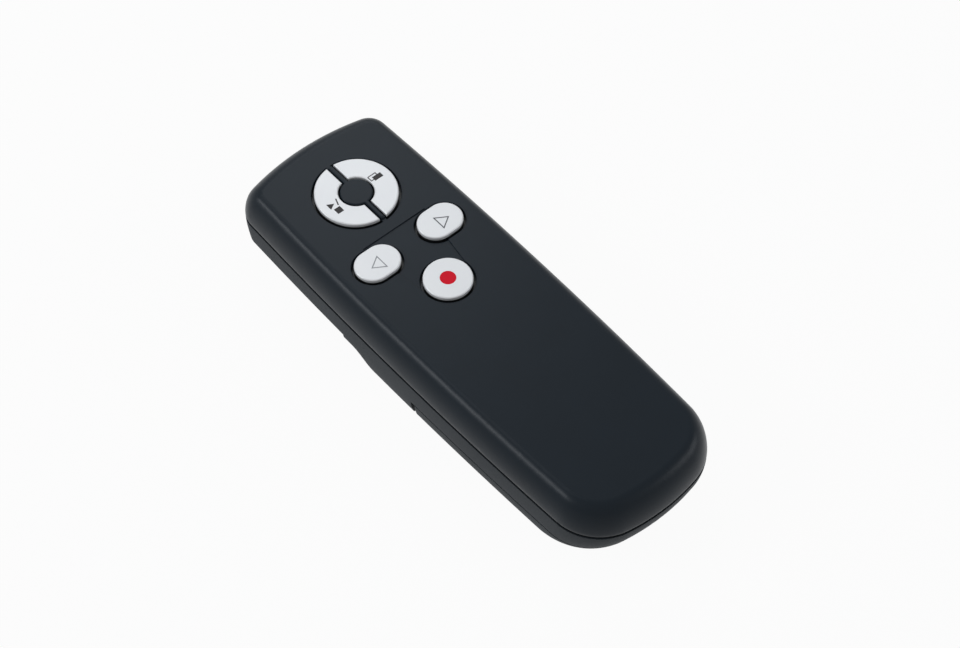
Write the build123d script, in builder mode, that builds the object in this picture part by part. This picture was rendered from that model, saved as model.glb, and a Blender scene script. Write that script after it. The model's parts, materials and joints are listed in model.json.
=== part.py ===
"""Wireless presentation clicker: a two-part case with five keys, a laser pointer in its nose
and two AAA cells behind a sliding battery door.

Millimetres. +Y is the laser end, +Z is the key face, and the origin is the middle of the base."""

import os
from math import atan2, cos, hypot, radians, sin, sqrt

from build123d import *

os.makedirs("parts", exist_ok=True)

# ---------------------------------------------------------------- case: driving sizes
BODY_WIDTH = 38.0
TAIL_REACH = 4.0  # from the rear end to the battery bay
LASER_KEY_REACH = 11.0  # from the battery bay to the middle of the laser key
OVAL_KEYS_REACH = 12.1  # from there to the oval keys
RING_REACH = 16.8  # from there to the round key pair
NOSE_REACH = 19.6  # from there to the front end
BASE_DEPTH = 10.6  # from the parting line down to the belly
TOP_DEPTH = 7.4  # from the parting line up to the key face
NOSE_DEPTH = 6.8  # from the parting line down to the shallow front underside
WALL = 1.6

NOSE_RADIUS = 56.0  # plan radius of the front end
TAIL_RADIUS = 45.0  # plan radius of the rear end
SIDE_RADIUS = 1150.0  # plan radius of the slightly bowed sides
WIDEST_AHEAD = 8.0  # widest point, ahead of the middle
NOSE_CORNER = 5.4
TAIL_CORNER = 11.2

TOP_DRAW_IN = (3.7, 5.0, 4.2)  # shoulder width at the sides, front and rear
BASE_DRAW_IN = (1.3, 4.0, 9.0)  # how far the underside is drawn in, likewise
BELLY_REACH = 10.3  # flat belly's front edge, ahead of the battery door
BELLY_SLOPE = 8.5  # length of the slope from the belly up to the front underside
NOSE_EDGE = 2.2  # rounding along the front underside
NOSE_EDGE_OVERRUN = 0.25  # how far that rounding starts outside the side walls
PROFILE_STEPS = 5  # loft sections between the first and the last
TIGHTEST_CORNER = 1.0  # corners of the plan outline that get no sharper when moved in

ROOT = 0.25  # how far bosses and ribs run into what carries them
OVERRUN = 1.0  # how far a cut runs past what it cuts
SEAM_GAP = 0.55  # visible line between the two covers
SEAM_RIM = 0.25  # thickness of the bottom cover's outer edge along that line
SEAM_CHANNEL = 0.5  # depth of the channel between that edge and the lip
LIP_THICKNESS = 0.6
LIP_SETBACK = 0.1  # lip's inner face behind the wall's inner face
LIP_HEIGHT = 1.2
LIP_CLEARANCE = 0.08

# ---------------------------------------------------------------- battery door
DOOR_LEAD = 0.7  # door's front edge ahead of the cells' room
DOOR_SEAM_DEPTH = 6.2  # seam below the parting line
DOOR_GAP = 0.2
DOOR_SEAM_GAP = 0.35  # visible line along the door's top edge
DOOR_WALL = 1.5
CATCH_DEPTH = 0.5  # finger catch groove along the door's front edge
CATCH_WIDTH = 0.9
GRIP_SETBACK = 5.0
GRIP_COUNT = 6
GRIP_PITCH = 1.8
GRIP_WIDTH = 0.9
GRIP_LENGTH = 16.0
GRIP_DEPTH = 0.4
TONGUE_WIDTH = 10.0
TONGUE_REACH = 1.9
TONGUE_THICKNESS = 1.0

# ---------------------------------------------------------------- cells and their bay
CELL_DIAMETER = 10.5
CELL_LENGTH = 44.5
NUB_DIAMETER = 3.8
NUB_LENGTH = 1.0
CELL_SPACING = 0.5  # between the two cells
CELL_AXIS_DEPTH = 1.0  # cell axis below the parting line
CELL_CLEARANCE = 0.35
CELL_EDGE = 0.5
BAY_WALL = 1.0
SPRING_LENGTH = 3.2
SPRING_RADIUS = 2.6
SPRING_WIRE = 0.5
SPRING_TURNS = 3
CONTACT_THICKNESS = 0.4
CONTACT_WIDTH = 6.6
CONTACT_HEIGHT = 7.0
SHELF_THICKNESS = 1.3
BAY_ROOF_THICKNESS = 0.8
BAY_GAP = 0.25  # between the bay and the top cover
RAIL_REAR_SETBACK = 8.0  # rails' rear end ahead of the bay's
RAIL_FRONT_SETBACK = 2.8  # rails' front end behind the door's
RAIL_WIDTH = 0.9
RAIL_THICKNESS = 0.7
HOOK_COUNT = 3
HOOK_LENGTH = 6.0
HOOK_THICKNESS = 0.8
HOOK_PITCH = 13.0
RIB_SETBACKS = (11.5, 34.5)  # behind the bay's front wall
RIB_THICKNESS = 1.2
TAB_WIDTH = 2.4
TAB_REACH = 1.6  # of a contact's tab under the circuit board
TAB_GAP = 0.1

# ---------------------------------------------------------------- keys
KEY_PROUD = 0.7
KEY_TRAVEL = 0.5
KEY_GAP = 0.35  # to the centre disc and its spokes
WINDOW_GAP = 0.55  # from a key's outer edge to its window
KEY_EDGE = 0.3  # rounding of a key's top edge
FLANGE_WIDTH = 0.5  # beyond the window
FLANGE_THICKNESS = 0.8
FLANGE_PLAY = 0.05
STEM_RADIUS = 1.4
STEM_PLAY = 0.05

RING_RADIUS = 8.65
DISC_RADIUS = 3.4
SPOKE_WIDTH = 1.0
DISC_PROUD = 0.6  # disc and spokes above the key face, just below the keys
RING_STEM_X = 6.9
OVAL_X = 8.15
OVAL_LENGTH = 10.0
OVAL_WIDTH = 7.7
LASER_KEY_RADIUS = 5.05
DOT_RADIUS = 1.65
DOT_DEPTH = 0.4

PANEL_AHEAD = 4.8  # panel's front edge ahead of the oval keys
PANEL_FRONT_HALF = 8.0
PANEL_REAR_HALF = 5.4
PANEL_DEPTH = 0.25

# ---------------------------------------------------------------- circuit board
BOARD_THICKNESS = 1.2
BOARD_DROP = 0.5  # board's top face below the parting line
BOARD_HALF_WIDTH = 11.7
BOARD_REAR_GAP = 1.3  # from the bay's front wall
BOARD_FRONT_SETBACK = 6.0  # from the front end
BOARD_NOTCH_GAP = 0.4  # round the laser barrel
BOARD_NOTCH_BEHIND = 4.0
BOARD_SCREW_X = 9.8
BOARD_SCREW_EDGE = 2.8  # from the board's ends
SWITCH_SIZE = 6.0
SWITCH_HEIGHT = 3.5
PLUNGER_RADIUS = 1.7
PLUNGER_PROUD = 0.8
PLUNGER_SUNK = 1.2
PLUNGER_FIT = 0.08
CONTROLLER_AHEAD = 5.5  # of the laser key
CONTROLLER_SIZE = (7.0, 7.0, 1.0)
RADIO_AHEAD = 4.4  # of the oval keys
RADIO_SIZE = (4.0, 4.0, 0.9)
CRYSTAL_X = 5.5
CRYSTAL_SIZE = (3.2, 2.5, 0.8)
COMPONENT_X = -5.4
COMPONENT_BEHIND = 1.9  # the laser key
COMPONENT_PITCH = (1.8, 12.5)
COMPONENT_COLUMNS = 7
COMPONENT_SIZE = (0.8, 1.6, 0.8)
ANTENNA_X = -7.6
ANTENNA_AHEAD = 2.9  # of the oval keys
ANTENNA_PITCH = 1.6
ANTENNA_TURNS = 5
ANTENNA_WIDTH = 4.0
ANTENNA_TRACK = 0.6
ANTENNA_THICKNESS = 0.2

# ---------------------------------------------------------------- laser
BARREL_RADIUS = 3.3
BARREL_LENGTH = 14.8
MOUTH_DEPTH = 2.7  # of the mouth that the beam leaves by
BARREL_DROP = 0.8  # barrel axis below the parting line
BARREL_BORE = 1.95
DIODE_FLANGE_RADIUS = 2.8
DIODE_FLANGE_LENGTH = 1.2
DIODE_CAP_RADIUS = 1.78
DIODE_CAP_LENGTH = 2.3
DIODE_LEAD_RADIUS = 0.23
DIODE_LEAD_SPREAD = 1.0
LEAD_STRAIGHT = 1.2
LEAD_BEND = 1.4
LEAD_LAND = 1.5
LENS_RADIUS = 2.5
LENS_LENGTH = 1.8
LENS_RING_LENGTH = 1.2
WINDOW_THICKNESS = 0.8
SEAT_FIT = 0.02
APERTURE_RADIUS = 2.2
CRADLE_THICKNESS = 1.6
CRADLE_HALF_WIDTH = 4.6

# ---------------------------------------------------------------- screws
CASE_SCREW_AHEAD = 11.4  # front pair, ahead of the oval keys
CASE_SCREW_TAIL_REACH = 20.0  # rear pair, from the rear end
CASE_FOOT_WALL = 0.8
CASE_BOSS_RADIUS = 2.2
CASE_SHANK_RADIUS = 1.0
CASE_SCREW_REACH = 4.0  # bite above the parting line
CASE_HEAD_RADIUS = 1.8
CASE_HEAD_HEIGHT = 1.2
CASE_SEAT_DEPTH = 4.0  # head seat below the parting line
BOARD_BOSS_RADIUS = 1.7
BOARD_SHANK_RADIUS = 0.8
BOARD_SCREW_BITE = 4.0
BOARD_HEAD_RADIUS = 1.5
BOARD_HEAD_HEIGHT = 1.0
THREAD_FIT = 0.02
SHANK_CLEARANCE = 0.25
DRIVE_WIDTH = 0.5
DRIVE_DEPTH = 0.6

# ---------------------------------------------------------------- worked-out places
BAY_LENGTH = 2 * CONTACT_THICKNESS + SPRING_LENGTH + CELL_LENGTH
KEYS_REACH = LASER_KEY_REACH + OVAL_KEYS_REACH + RING_REACH
BODY_LENGTH = TAIL_REACH + BAY_LENGTH + KEYS_REACH + NOSE_REACH
HALF_LENGTH = BODY_LENGTH / 2
BAY_REAR_Y = TAIL_REACH - HALF_LENGTH
BAY_FRONT_Y = BAY_REAR_Y + BAY_LENGTH
BAY_END_Y = BAY_FRONT_Y + BAY_WALL
LASER_KEY_Y = BAY_FRONT_Y + LASER_KEY_REACH
OVAL_Y = LASER_KEY_Y + OVAL_KEYS_REACH
RING_Y = OVAL_Y + RING_REACH
PANEL_FRONT_Y = OVAL_Y + PANEL_AHEAD
DOOR_FRONT_Y = BAY_FRONT_Y + DOOR_LEAD
DOOR_STOP_Y = DOOR_FRONT_Y + BAY_WALL
BELLY_FRONT_Y = DOOR_FRONT_Y + BELLY_REACH
RAIL_REAR_Y = BAY_REAR_Y + RAIL_REAR_SETBACK
RAIL_FRONT_Y = DOOR_FRONT_Y - RAIL_FRONT_SETBACK

PARTING_Z = BASE_DEPTH
FACE_Z = BASE_DEPTH + TOP_DEPTH
CEILING_Z = FACE_Z - WALL
NOSE_Z = PARTING_Z - NOSE_DEPTH
NOSE_FLOOR_Z = NOSE_Z + WALL
DOOR_SEAM_Z = PARTING_Z - DOOR_SEAM_DEPTH

KEY_TOP_Z = FACE_Z + KEY_PROUD
FLANGE_TOP_Z = CEILING_Z - FLANGE_PLAY
FLANGE_Z = FLANGE_TOP_Z - FLANGE_THICKNESS
BOARD_TOP_Z = PARTING_Z - BOARD_DROP
BOARD_Z = BOARD_TOP_Z - BOARD_THICKNESS
SWITCH_TOP_Z = BOARD_TOP_Z + SWITCH_HEIGHT
PLUNGER_TOP_Z = SWITCH_TOP_Z + PLUNGER_PROUD
STEM_Z = PLUNGER_TOP_Z + STEM_PLAY

CELL_RADIUS = CELL_DIAMETER / 2
CELL_Z = PARTING_Z - CELL_AXIS_DEPTH
CELL_X = CELL_RADIUS + CELL_SPACING / 2
BAY_HALF_WIDTH = CELL_X + CELL_RADIUS + CELL_CLEARANCE
BAY_OUTER = BAY_HALF_WIDTH + BAY_WALL
BAY_ROOF_Z = CELL_Z + CELL_RADIUS + CELL_CLEARANCE / 2
BAY_TOP_Z = BAY_ROOF_Z + BAY_ROOF_THICKNESS
CELL_BOTTOM_Z = CELL_Z - CELL_RADIUS
TAB_Z = BOARD_Z - TAB_GAP - CONTACT_THICKNESS
DOOR_TOP_Z = DOOR_SEAM_Z - DOOR_SEAM_GAP
LIP_OF_HOOK = RAIL_WIDTH - DOOR_GAP
RAIL_TOP_Z = DOOR_TOP_Z - HOOK_THICKNESS - DOOR_GAP
RAIL_Z = RAIL_TOP_Z - RAIL_THICKNESS
TONGUE_Z = WALL + DOOR_GAP
TONGUE_TOP_Z = TONGUE_Z + TONGUE_THICKNESS

BARREL_Z = PARTING_Z - BARREL_DROP
BARREL_FRONT_Y = HALF_LENGTH - MOUTH_DEPTH
BARREL_REAR_Y = BARREL_FRONT_Y - BARREL_LENGTH
CRADLE_TOP_Z = BOARD_Z - DOOR_GAP
BOARD_NOTCH_HALF = BARREL_RADIUS + BOARD_NOTCH_GAP
BOARD_NOTCH_Y = BARREL_REAR_Y - BOARD_NOTCH_BEHIND
BOARD_REAR_Y = BAY_END_Y + BOARD_REAR_GAP
BOARD_FRONT_Y = HALF_LENGTH - BOARD_FRONT_SETBACK
LENS_REAR_Y = BARREL_FRONT_Y - WINDOW_THICKNESS - LENS_RING_LENGTH - LENS_LENGTH

LIP_INNER = WALL - LIP_SETBACK
LIP_OUTER = LIP_INNER - LIP_THICKNESS
RING_HOLE = RING_RADIUS + WINDOW_GAP
CASE_BOSS_X = BAY_OUTER + CASE_BOSS_RADIUS
CASE_SCREW_YS = (OVAL_Y + CASE_SCREW_AHEAD, CASE_SCREW_TAIL_REACH - HALF_LENGTH)
BOARD_SCREW_YS = (BOARD_FRONT_Y - BOARD_SCREW_EDGE, BOARD_REAR_Y + BOARD_SCREW_EDGE)
CASE_SEAT_Z = PARTING_Z - CASE_SEAT_DEPTH
CASE_FOOT_RADIUS = CASE_HEAD_RADIUS + SHANK_CLEARANCE + CASE_FOOT_WALL
CASE_SCREWS = [(side * CASE_BOSS_X, y) for y in CASE_SCREW_YS for side in (-1, 1)]
BOARD_SCREWS = [(side * BOARD_SCREW_X, y) for y in BOARD_SCREW_YS for side in (-1, 1)]
SWITCH_PLACES = {
    "start_stop": (-RING_STEM_X, RING_Y),
    "blank_screen": (RING_STEM_X, RING_Y),
    "previous": (-OVAL_X, OVAL_Y),
    "next": (OVAL_X, OVAL_Y),
    "laser": (0, LASER_KEY_Y),
}


# ---------------------------------------------------------------- plan outline of the case
def corner_centre(corner, end, end_radius, side, side_radius, toward):
    """Centre of the corner arc that touches an end arc and a side arc, inside both."""
    end_reach = end_radius - corner
    side_reach = side_radius - corner
    across = side[0] - end[0]
    along = side[1] - end[1]
    apart = hypot(across, along)
    from_end = (end_reach**2 - side_reach**2 + apart**2) / (2 * apart)
    off_line = sqrt(end_reach**2 - from_end**2)
    foot = (end[0] + across / apart * from_end, end[1] + along / apart * from_end)
    options = [
        (foot[0] - sign * along / apart * off_line, foot[1] + sign * across / apart * off_line)
        for sign in (-1, 1)
    ]
    return max(options, key=lambda point: point[1] * toward)


def along_ray(centre, through, distance):
    """Point at a distance from a centre, on the ray that passes through another point."""
    angle = atan2(through[1] - centre[1], through[0] - centre[0])
    return (centre[0] + distance * cos(angle), centre[1] + distance * sin(angle))


def case_outline(side_in, front_in, rear_in, mode=Mode.ADD):
    """Face of the case's plan outline, moved in by three amounts at its sides and two ends."""
    half_width = BODY_WIDTH / 2 - side_in
    side_radius = SIDE_RADIUS - side_in
    side = (half_width - side_radius, WIDEST_AHEAD)
    front_y = HALF_LENGTH - front_in
    rear_y = rear_in - HALF_LENGTH
    ends = (
        (1, (0, front_y - NOSE_RADIUS), NOSE_RADIUS, max(NOSE_CORNER - side_in, TIGHTEST_CORNER)),
        (-1, (0, rear_y + TAIL_RADIUS), TAIL_RADIUS, max(TAIL_CORNER - side_in, TIGHTEST_CORNER)),
    )
    corners = {}
    for toward, end, end_radius, corner in ends:
        centre = corner_centre(corner, end, end_radius, side, side_radius, toward)
        on_end = along_ray(end, centre, end_radius)
        on_side = along_ray(side, centre, side_radius)
        chord_middle = ((on_end[0] + on_side[0]) / 2, (on_end[1] + on_side[1]) / 2)
        corners[toward] = (on_end, along_ray(centre, chord_middle, corner), on_side)
    side_middle_y = (corners[1][2][1] + corners[-1][2][1]) / 2
    side_middle = along_ray(side, (half_width, side_middle_y), side_radius)
    right = [
        corners[1],
        (corners[1][2], side_middle, corners[-1][2]),
        tuple(reversed(corners[-1])),
    ]
    with BuildLine() as edge:
        ThreePointArc((-corners[1][0][0], corners[1][0][1]), (0, front_y), corners[1][0])
        for arc in right:
            ThreePointArc(*arc)
        ThreePointArc(corners[-1][0], (0, rear_y), (-corners[-1][0][0], corners[-1][0][1]))
        for arc in reversed(right):
            ThreePointArc(*[(-x, y) for x, y in reversed(arc)])
    make_face(edge.edges(), mode=mode)


def rounded_body(start_z, end_z, start_in, draw_in):
    """Loft the outline from one level to another, drawn in along a quarter ellipse."""
    with BuildPart() as body:
        for step in range(PROFILE_STEPS + 1):
            turn = radians(90 * step / PROFILE_STEPS)
            level = start_z + (end_z - start_z) * sin(turn)
            with BuildSketch(Plane.XY.offset(level)):
                case_outline(*[s + d * (1 - cos(turn)) for s, d in zip(start_in, draw_in)])
        loft()
    return body.part


def inner(insets, wall):
    return [inset + wall for inset in insets]


NO_INSET = (0, 0, 0)
top_outer = rounded_body(PARTING_Z, FACE_Z, NO_INSET, TOP_DRAW_IN)
top_inner = rounded_body(PARTING_Z, CEILING_Z, inner(NO_INSET, WALL), TOP_DRAW_IN)
base_outer = rounded_body(PARTING_Z, 0, NO_INSET, BASE_DRAW_IN)
base_inner = rounded_body(PARTING_Z, WALL, inner(NO_INSET, WALL), BASE_DRAW_IN)
door_inner = rounded_body(PARTING_Z, DOOR_WALL, inner(NO_INSET, DOOR_WALL), BASE_DRAW_IN)
catch_core = rounded_body(PARTING_Z, CATCH_DEPTH, inner(NO_INSET, CATCH_DEPTH), BASE_DRAW_IN)
bay_room_above = rounded_body(
    PARTING_Z - OVERRUN, CEILING_Z - BAY_GAP, inner(NO_INSET, WALL + BAY_GAP), TOP_DRAW_IN
)
bay_room_below = rounded_body(PARTING_Z, WALL / 2, inner(NO_INSET, WALL / 2), BASE_DRAW_IN)
nose_edge_body = rounded_body(
    NOSE_Z + NOSE_EDGE, NOSE_Z, [-NOSE_EDGE_OVERRUN] * 3, [NOSE_EDGE] * 3
)


def under_nose(rise):
    """Space under the shallow front, raised by a wall for the inside of the cover."""
    slope_top = (BELLY_FRONT_Y + BELLY_SLOPE, NOSE_Z + rise)
    slope_foot = (BELLY_FRONT_Y, rise)
    with BuildPart() as space:
        with BuildSketch(Plane.YZ):
            with BuildLine():
                Spline(slope_top, slope_foot, tangents=((-1, 0), (-1, 0)))
                Polyline(
                    slope_foot,
                    (BELLY_FRONT_Y, -FACE_Z),
                    (BODY_LENGTH, -FACE_Z),
                    (BODY_LENGTH, NOSE_Z + rise),
                    slope_top,
                )
            make_face()
        extrude(amount=BODY_WIDTH, both=True)
    return space.part


with BuildPart() as nose_edge_cut:
    with BuildSketch():
        start_y = BELLY_FRONT_Y + BELLY_SLOPE
        with BuildLine():
            Polyline(
                (-BODY_WIDTH, BODY_LENGTH),
                (-BODY_WIDTH, start_y + BODY_WIDTH / 2),
                (-BODY_WIDTH / 2 + NOSE_EDGE + OVERRUN, start_y),
                (BODY_WIDTH / 2 - NOSE_EDGE - OVERRUN, start_y),
                (BODY_WIDTH, start_y + BODY_WIDTH / 2),
                (BODY_WIDTH, BODY_LENGTH),
                close=True,
            )
        make_face()
    extrude(amount=NOSE_Z + NOSE_EDGE)
    add(nose_edge_body, mode=Mode.SUBTRACT)


# ---------------------------------------------------------------- shared shapes
def block(x, y, z, mode=Mode.ADD):
    """Box between three pairs of limits."""
    with Locations(((x[0] + x[1]) / 2, (y[0] + y[1]) / 2, (z[0] + z[1]) / 2)):
        Box(x[1] - x[0], y[1] - y[0], z[1] - z[0], mode=mode)


def post(place, radius, z, mode=Mode.ADD):
    """Upright cylinder between two levels."""
    with Locations((place[0], place[1], (z[0] + z[1]) / 2)):
        Cylinder(radius, z[1] - z[0], mode=mode)


def rod_along_y(x, z, radius, y, mode=Mode.ADD):
    """Lying cylinder between two places along the case."""
    with Locations(Location((x, (y[0] + y[1]) / 2, z), (90, 0, 0))):
        Cylinder(radius, y[1] - y[0], mode=mode)


def finish(piece, name):
    """Label a finished piece and write it out."""
    piece.label = name
    export_step(piece, f"parts/{name}.step")


def panel_outline():
    with BuildLine() as edge:
        Polyline(
            (-PANEL_FRONT_HALF, PANEL_FRONT_Y),
            (PANEL_FRONT_HALF, PANEL_FRONT_Y),
            (PANEL_REAR_HALF, LASER_KEY_Y),
            (-PANEL_REAR_HALF, LASER_KEY_Y),
            close=True,
        )
    make_face(edge.edges())


def half_ring(outer, inside, edge_x, side):
    """Half of the round key pair, between two radii and clear of the spokes."""
    with Locations((0, RING_Y)):
        Circle(outer)
        Circle(inside, mode=Mode.SUBTRACT)
    with Locations((side * (edge_x - outer), RING_Y)):
        Rectangle(2 * outer, 2 * (outer + OVERRUN), mode=Mode.SUBTRACT)


# ---------------------------------------------------------------- top cover
CLAMP_REAR_Y = BARREL_FRONT_Y - 3 * CRADLE_THICKNESS
with BuildPart() as top_cover:
    add(top_outer)
    add(top_inner, mode=Mode.SUBTRACT)
    # windows for the keys
    with BuildSketch(Plane.XY.offset(CEILING_Z - OVERRUN)):
        with Locations((0, RING_Y)):
            Circle(RING_HOLE)
        with Locations((-OVAL_X, OVAL_Y), (OVAL_X, OVAL_Y)):
            SlotOverall(OVAL_LENGTH + 2 * WINDOW_GAP, OVAL_WIDTH + 2 * WINDOW_GAP)
        with Locations((0, LASER_KEY_Y)):
            Circle(LASER_KEY_RADIUS + WINDOW_GAP)
    extrude(amount=WALL + 2 * OVERRUN, mode=Mode.SUBTRACT)
    # shallow panel that joins the lower three keys
    with BuildSketch(Plane.XY.offset(FACE_Z - PANEL_DEPTH)):
        panel_outline()
    extrude(amount=PANEL_DEPTH + OVERRUN, mode=Mode.SUBTRACT)
    # centre disc on its two spokes
    with BuildSketch(Plane.XY.offset(CEILING_Z)):
        with Locations((0, RING_Y)):
            Circle(DISC_RADIUS)
            Rectangle(SPOKE_WIDTH, 2 * RING_HOLE + SPOKE_WIDTH)
    extrude(amount=WALL)
    with BuildSketch(Plane.XY.offset(FACE_Z)):
        with Locations((0, RING_Y)):
            Circle(DISC_RADIUS)
            Rectangle(SPOKE_WIDTH, 2 * RING_RADIUS)
    extrude(amount=DISC_PROUD)
    # rebate that takes the bottom cover's lip
    with BuildSketch(Plane.XY.offset(PARTING_Z)):
        case_outline(*[LIP_OUTER - LIP_CLEARANCE] * 3)
    extrude(amount=LIP_HEIGHT + LIP_CLEARANCE, mode=Mode.SUBTRACT)
    # bosses for the case screws and the circuit board
    for place in CASE_SCREWS:
        post(place, CASE_BOSS_RADIUS, (PARTING_Z, CEILING_Z + ROOT))
    for place in BOARD_SCREWS:
        post(place, BOARD_BOSS_RADIUS, (BOARD_TOP_Z, CEILING_Z + ROOT))
    for place in CASE_SCREWS:
        top = PARTING_Z + CASE_SCREW_REACH + THREAD_FIT
        post(place, CASE_SHANK_RADIUS + THREAD_FIT, (PARTING_Z - OVERRUN, top), Mode.SUBTRACT)
    for place in BOARD_SCREWS:
        top = BOARD_TOP_Z + BOARD_SCREW_BITE + THREAD_FIT
        post(place, BOARD_SHANK_RADIUS + THREAD_FIT, (BOARD_TOP_Z - OVERRUN, top), Mode.SUBTRACT)
    # rib that holds the laser barrel down, and the mouth it shines through
    block(
        (-BARREL_RADIUS / 2, BARREL_RADIUS / 2),
        (CLAMP_REAR_Y, CLAMP_REAR_Y + CRADLE_THICKNESS),
        (BARREL_Z + BARREL_RADIUS + SEAT_FIT, CEILING_Z + ROOT),
    )
    rod_along_y(0, BARREL_Z, APERTURE_RADIUS, (BARREL_FRONT_Y, HALF_LENGTH + OVERRUN), Mode.SUBTRACT)
finish(top_cover.part, "top_cover")

# ---------------------------------------------------------------- battery bay
with BuildPart() as bay_room:
    add(bay_room_above)
    add(bay_room_below)

with BuildPart() as bay:
    block(
        (-BAY_OUTER, BAY_OUTER),
        (BAY_REAR_Y - BAY_WALL, BAY_END_Y),
        (DOOR_SEAM_Z, BAY_TOP_Z),
    )
    # shelf out to the side walls
    block(
        (-BODY_WIDTH / 2, BODY_WIDTH / 2),
        (BAY_REAR_Y - BAY_WALL, DOOR_STOP_Y),
        (DOOR_SEAM_Z, DOOR_SEAM_Z + SHELF_THICKNESS),
    )
    add(bay_room.part, mode=Mode.INTERSECT)
    # wall ahead of the door, down to the floor on both sides of its tongue
    for side in (-1, 1):
        inner_x = TONGUE_WIDTH / 2 + 2 * DOOR_GAP
        block(
            (min(side * inner_x, side * BAY_OUTER), max(side * inner_x, side * BAY_OUTER)),
            (DOOR_FRONT_Y, DOOR_STOP_Y),
            (WALL - ROOT, DOOR_SEAM_Z + ROOT),
        )
    # skirts with the rails that the door's hooks run on
    for side in (-1, 1):
        near, far, tip = [side * x for x in (BAY_HALF_WIDTH, BAY_OUTER, BAY_OUTER + RAIL_WIDTH)]
        rail_y = (RAIL_REAR_Y, RAIL_FRONT_Y)
        block((min(near, far), max(near, far)), rail_y, (RAIL_Z, DOOR_SEAM_Z + ROOT))
        block((min(near, tip), max(near, tip)), rail_y, (RAIL_Z, RAIL_TOP_Z))
    block(
        (-BAY_HALF_WIDTH, BAY_HALF_WIDTH),
        (BAY_REAR_Y, BAY_FRONT_Y),
        (0, BAY_ROOF_Z),
        Mode.SUBTRACT,
    )
    # slots in the front wall for the contacts' tabs
    for side in (-1, 1):
        block(
            (side * CELL_X - TAB_WIDTH / 2 - DOOR_GAP, side * CELL_X + TAB_WIDTH / 2 + DOOR_GAP),
            (BAY_FRONT_Y - OVERRUN, BAY_END_Y + OVERRUN),
            (TAB_Z - DOOR_GAP, TAB_Z + CONTACT_THICKNESS + DOOR_GAP),
            Mode.SUBTRACT,
        )

# ---------------------------------------------------------------- bottom cover
CRADLE_PLACES = (BARREL_REAR_Y + CRADLE_THICKNESS, CLAMP_REAR_Y)
with BuildPart() as base_hollow:
    add(base_inner)
    add(under_nose(WALL), mode=Mode.SUBTRACT)

with BuildPart() as bottom_cover:
    add(base_outer)
    add(under_nose(0), mode=Mode.SUBTRACT)
    add(nose_edge_cut.part, mode=Mode.SUBTRACT)
    add(base_hollow.part, mode=Mode.SUBTRACT)
    # the door's share of the shell
    block(
        (-BODY_WIDTH, BODY_WIDTH),
        (-BODY_LENGTH, DOOR_FRONT_Y),
        (-OVERRUN, DOOR_SEAM_Z),
        Mode.SUBTRACT,
    )
    # groove of the parting line, and the lip behind it
    with BuildSketch(Plane.XY.offset(PARTING_Z - SEAM_GAP)):
        case_outline(-OVERRUN, -OVERRUN, -OVERRUN)
    extrude(amount=SEAM_GAP + OVERRUN, mode=Mode.SUBTRACT)
    with BuildSketch(Plane.XY.offset(PARTING_Z - SEAM_GAP)):
        case_outline(*[SEAM_RIM] * 3)
        case_outline(*[LIP_OUTER] * 3, mode=Mode.SUBTRACT)
    extrude(amount=-SEAM_CHANNEL, mode=Mode.SUBTRACT)
    with BuildSketch(Plane.XY.offset(PARTING_Z - SEAM_GAP)):
        case_outline(*[LIP_OUTER] * 3)
        case_outline(*[LIP_INNER] * 3, mode=Mode.SUBTRACT)
    extrude(amount=SEAM_GAP + LIP_HEIGHT)
    add(bay.part)
    # bosses for the case screws
    for x, y in CASE_SCREWS:
        foot_z = NOSE_FLOOR_Z - ROOT if y > 0 else DOOR_SEAM_Z
        post((x, y), CASE_FOOT_RADIUS, (foot_z, CASE_SEAT_Z + WALL))
        post((x, y), CASE_BOSS_RADIUS, (foot_z, PARTING_Z))
    for place in CASE_SCREWS:
        post(place, CASE_SHANK_RADIUS + SHANK_CLEARANCE, (0, PARTING_Z + OVERRUN), Mode.SUBTRACT)
        post(place, CASE_HEAD_RADIUS + SHANK_CLEARANCE, (0, CASE_SEAT_Z), Mode.SUBTRACT)
    # cradles and mouth of the laser barrel
    for y in CRADLE_PLACES:
        block(
            (-CRADLE_HALF_WIDTH, CRADLE_HALF_WIDTH),
            (y, y + CRADLE_THICKNESS),
            (NOSE_FLOOR_Z - ROOT, CRADLE_TOP_Z),
        )
    barrel_y = (BARREL_REAR_Y - OVERRUN, BARREL_FRONT_Y)
    rod_along_y(0, BARREL_Z, BARREL_RADIUS + SEAT_FIT, barrel_y, Mode.SUBTRACT)
    rod_along_y(0, BARREL_Z, APERTURE_RADIUS, (BARREL_FRONT_Y, HALF_LENGTH + OVERRUN), Mode.SUBTRACT)
finish(bottom_cover.part, "bottom_cover")

# ---------------------------------------------------------------- battery door
with BuildPart() as catch:
    block(
        (-BODY_WIDTH, BODY_WIDTH),
        (DOOR_FRONT_Y - DOOR_GAP - CATCH_WIDTH, DOOR_FRONT_Y),
        (-OVERRUN, DOOR_SEAM_Z),
    )
    add(catch_core, mode=Mode.SUBTRACT)

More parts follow.
